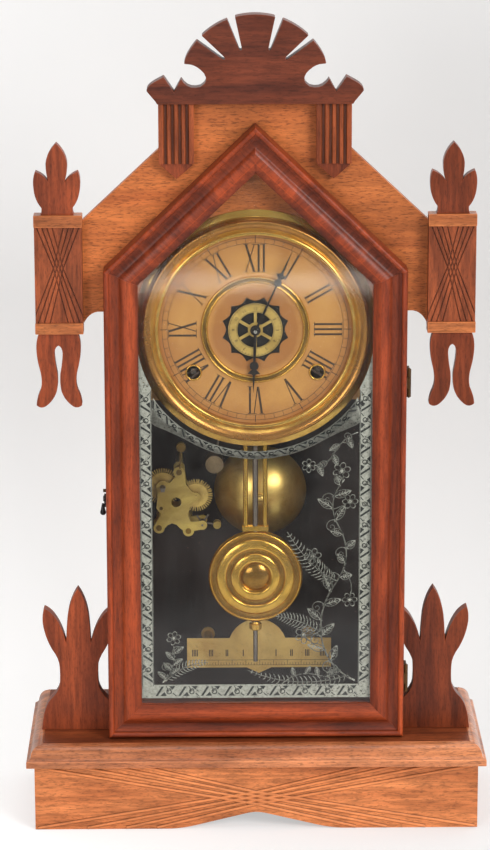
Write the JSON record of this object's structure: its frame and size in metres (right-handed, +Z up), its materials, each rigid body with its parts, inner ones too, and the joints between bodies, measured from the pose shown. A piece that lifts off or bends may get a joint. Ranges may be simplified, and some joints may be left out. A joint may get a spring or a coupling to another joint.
{
  "type": "kitchen clock",
  "caption": "Walnut shelf clock with a pointed glazed door, carved crests and pendants, paper dial, pendulum, bell, strike train and alarm unit.",
  "frame": {"origin": "centre of the bounding box on the surface the clock stands on", "axes": "+X to the right seen from the front, -Y is the front, +Z up"},
  "size_m": [0.325, 0.126, 0.5765],
  "materials": {
    "fascia_walnut": "oiled",
    "door_walnut": "oiled",
    "crest_walnut": "oiled",
    "base_walnut": "oiled",
    "case_walnut": "dull",
    "pine": "raw",
    "glass": "clear",
    "brass": "aged polish",
    "steel": "satin",
    "spring_steel": "blued",
    "black_steel": "black",
    "dial_paper": "aged"
  },
  "bodies": {
    "clock_case": {"base_front": "base_walnut", "base_sides": "base_walnut", "platform_board": "base_walnut", "platform_mouldings": "base_walnut", "glue_blocks": "pine", "case_sides": "case_walnut", "case_top": "case_walnut", "backboard": "pine", "fascia_board": "fascia_walnut", "capital_blocks": "crest_walnut", "capital_caps": "base_walnut", "finials": "crest_walnut", "pendants": "crest_walnut", "corbels": "crest_walnut", "pediment": "crest_walnut", "side_crests": "crest_walnut", "case_hinge_leaves": "brass", "dial_plate": "dial_paper", "dial_bezel": "brass", "dial_trim": "brass", "movement_front_plate": "brass", "movement_back_plate": "brass", "movement_pillars": "brass", "mainsprings": "spring_steel", "bell": "brass", "beat_scale": "brass", "alarm_plates": "brass"},
    "door": {"door_stiles": "door_walnut", "door_bottom_rail": "door_walnut", "door_rafters": "door_walnut", "door_glass": "glass", "glazing_strips": "door_walnut", "door_hinge_leaves": "brass"},
    "latch": {"door_latch": "black_steel"},
    "minute_body": {"centre_arbor": "brass", "minute_hand": "black_steel"},
    "time_great_body": {"time_great_wheel": "brass"},
    "time_second_body": {"time_second_wheel": "brass"},
    "time_third_body": {"time_third_wheel": "brass"},
    "escape_body": {"escape_wheel": "brass"},
    "time_winding_body": {"time_winding_arbor": "steel"},
    "minute_wheel_body": {"minute_wheel": "brass"},
    "hour_body": {"hour_wheel": "brass", "hour_hand": "black_steel"},
    "alarm_set_body": {"alarm_disc": "brass"},
    "pendulum": {"pendulum_rod": "brass", "pendulum_bob": "brass"},
    "verge_body": {"verge": "steel"},
    "nut_body": {"rating_nut": "brass"},
    "strike_great_body": {"strike_great_wheel": "brass"},
    "pin_body": {"pin_wheel": "brass"},
    "warning_body": {"warning_wheel": "brass"},
    "fly_body": {"fly": "brass"},
    "count_body": {"count_wheel": "brass"},
    "strike_winding_body": {"strike_winding_arbor": "steel"},
    "hammer_body": {"strike_hammer": "steel"},
    "alarm_main_body": {"alarm_main_wheel": "brass"},
    "alarm_escape_body": {"alarm_escape_wheel": "brass"},
    "alarm_hammer_body": {"alarm_hammer": "brass"},
    "alarm_winding_body": {"alarm_winding_arbor": "steel"}
  },
  "joints": [
    {"name": "door_swing", "type": "hinge", "parent": "clock_case", "child": "door", "pos_m": [0.1063, -0.033, 0.212], "axis": [0, 0, 1], "range_deg": [0, 78]},
    {"name": "latch_turn", "type": "hinge", "parent": "door", "child": "latch", "pos_m": [-0.1046, -0.036, 0.2385], "axis": [1, 0, 0], "range_deg": [0, 20]},
    {"name": "minute_turn", "type": "hinge", "parent": "clock_case", "child": "minute_body", "pos_m": [0, -0.01, 0.3572], "axis": [0, 1, 0], "continuous": true},
    {"name": "time_great_turn", "type": "hinge", "parent": "clock_case", "child": "time_great_body", "pos_m": [0.0429, 0.011, 0.3268], "axis": [0, 1, 0], "continuous": true},
    {"name": "time_second_turn", "type": "hinge", "parent": "clock_case", "child": "time_second_body", "pos_m": [0.03289, 0.01, 0.34993], "axis": [0, 1, 0], "continuous": true},
    {"name": "time_third_turn", "type": "hinge", "parent": "clock_case", "child": "time_third_body", "pos_m": [0.00995, 0.01, 0.33318], "axis": [0, 1, 0], "continuous": true},
    {"name": "escape_turn", "type": "hinge", "parent": "clock_case", "child": "escape_body", "pos_m": [0, 0.01, 0.312], "axis": [0, 1, 0], "continuous": true},
    {"name": "minute_wheel_turn", "type": "hinge", "parent": "clock_case", "child": "minute_wheel_body", "pos_m": [-0.00849, -0.004, 0.36569], "axis": [0, 1, 0], "continuous": true},
    {"name": "hour_turn", "type": "hinge", "parent": "clock_case", "child": "hour_body", "pos_m": [0, -0.015, 0.3572], "axis": [0, 1, 0], "continuous": true},
    {"name": "alarm_set_turn", "type": "hinge", "parent": "hour_body", "child": "alarm_set_body", "pos_m": [0, -0.028, 0.3572], "axis": [0, 1, 0], "continuous": true},
    {"name": "time_winding_turn", "type": "hinge", "parent": "clock_case", "child": "time_winding_body", "pos_m": [0.0429, 0, 0.3268], "axis": [0, 1, 0], "continuous": true},
    {"name": "pendulum_swing", "type": "hinge", "parent": "clock_case", "child": "pendulum", "pos_m": [0, -0.016, 0.335], "axis": [0, 1, 0], "range_deg": [-3, 3]},
    {"name": "verge_rock", "type": "hinge", "parent": "clock_case", "child": "verge_body", "pos_m": [0, -0.004, 0.335], "axis": [0, 1, 0], "range_deg": [-3, 3]},
    {"name": "rating_nut_turn", "type": "hinge", "parent": "pendulum", "child": "nut_body", "pos_m": [0, -0.016, 0.1383], "axis": [0, 0, 1], "continuous": true},
    {"name": "strike_great_turn", "type": "hinge", "parent": "clock_case", "child": "strike_great_body", "pos_m": [-0.0429, 0.011, 0.3268], "axis": [0, 1, 0], "continuous": true},
    {"name": "pin_wheel_turn", "type": "hinge", "parent": "clock_case", "child": "pin_body", "pos_m": [-0.03289, 0.01, 0.34993], "axis": [0, 1, 0], "continuous": true},
    {"name": "warning_turn", "type": "hinge", "parent": "clock_case", "child": "warning_body", "pos_m": [-0.0389, 0.01, 0.37316], "axis": [0, 1, 0], "continuous": true},
    {"name": "fly_turn", "type": "hinge", "parent": "clock_case", "child": "fly_body", "pos_m": [-0.02369, 0.01, 0.38075], "axis": [0, 1, 0], "continuous": true},
    {"name": "count_turn", "type": "hinge", "parent": "clock_case", "child": "count_body", "pos_m": [-0.02518, 0.037, 0.36767], "axis": [0, 1, 0], "continuous": true},
    {"name": "strike_winding_turn", "type": "hinge", "parent": "clock_case", "child": "strike_winding_body", "pos_m": [-0.0429, 0, 0.3268], "axis": [0, 1, 0], "continuous": true},
    {"name": "strike_hammer_lift", "type": "hinge", "parent": "clock_case", "child": "hammer_body", "pos_m": [-0.018, 0.02, 0.308], "axis": [0, 1, 0], "range_deg": [0, 8]},
    {"name": "alarm_main_turn", "type": "hinge", "parent": "clock_case", "child": "alarm_main_body", "pos_m": [-0.0655, 0.013, 0.233], "axis": [0, 1, 0], "continuous": true},
    {"name": "alarm_escape_turn", "type": "hinge", "parent": "clock_case", "child": "alarm_escape_body", "pos_m": [-0.042, 0.015, 0.2263], "axis": [0, 1, 0], "continuous": true},
    {"name": "alarm_hammer_rock", "type": "hinge", "parent": "clock_case", "child": "alarm_hammer_body", "pos_m": [-0.0375, 0.017, 0.2049], "axis": [0, 1, 0], "range_deg": [-6, 6]},
    {"name": "alarm_winding_turn", "type": "hinge", "parent": "clock_case", "child": "alarm_winding_body", "pos_m": [-0.0655, 0.01, 0.233], "axis": [0, 1, 0], "continuous": true}
  ],
  "couplings": [
    {"joint": "minute_turn", "follows": "time_third_turn", "ratio": -0.083333},
    {"joint": "time_second_turn", "follows": "time_third_turn", "ratio": 0.046296},
    {"joint": "time_great_turn", "follows": "time_third_turn", "ratio": -0.005787},
    {"joint": "escape_turn", "follows": "time_third_turn", "ratio": -12},
    {"joint": "minute_wheel_turn", "follows": "time_third_turn", "ratio": 0.027778},
    {"joint": "hour_turn", "follows": "time_third_turn", "ratio": -0.0069444},
    {"joint": "verge_rock", "follows": "pendulum_swing", "ratio": 1},
    {"joint": "pin_wheel_turn", "follows": "warning_turn", "ratio": -0.11111},
    {"joint": "strike_great_turn", "follows": "warning_turn", "ratio": 0.013889},
    {"joint": "fly_turn", "follows": "warning_turn", "ratio": -7.5},
    {"joint": "count_turn", "follows": "warning_turn", "ratio": 0.011396},
    {"joint": "alarm_escape_turn", "follows": "alarm_main_turn", "ratio": -1.15}
  ]
}
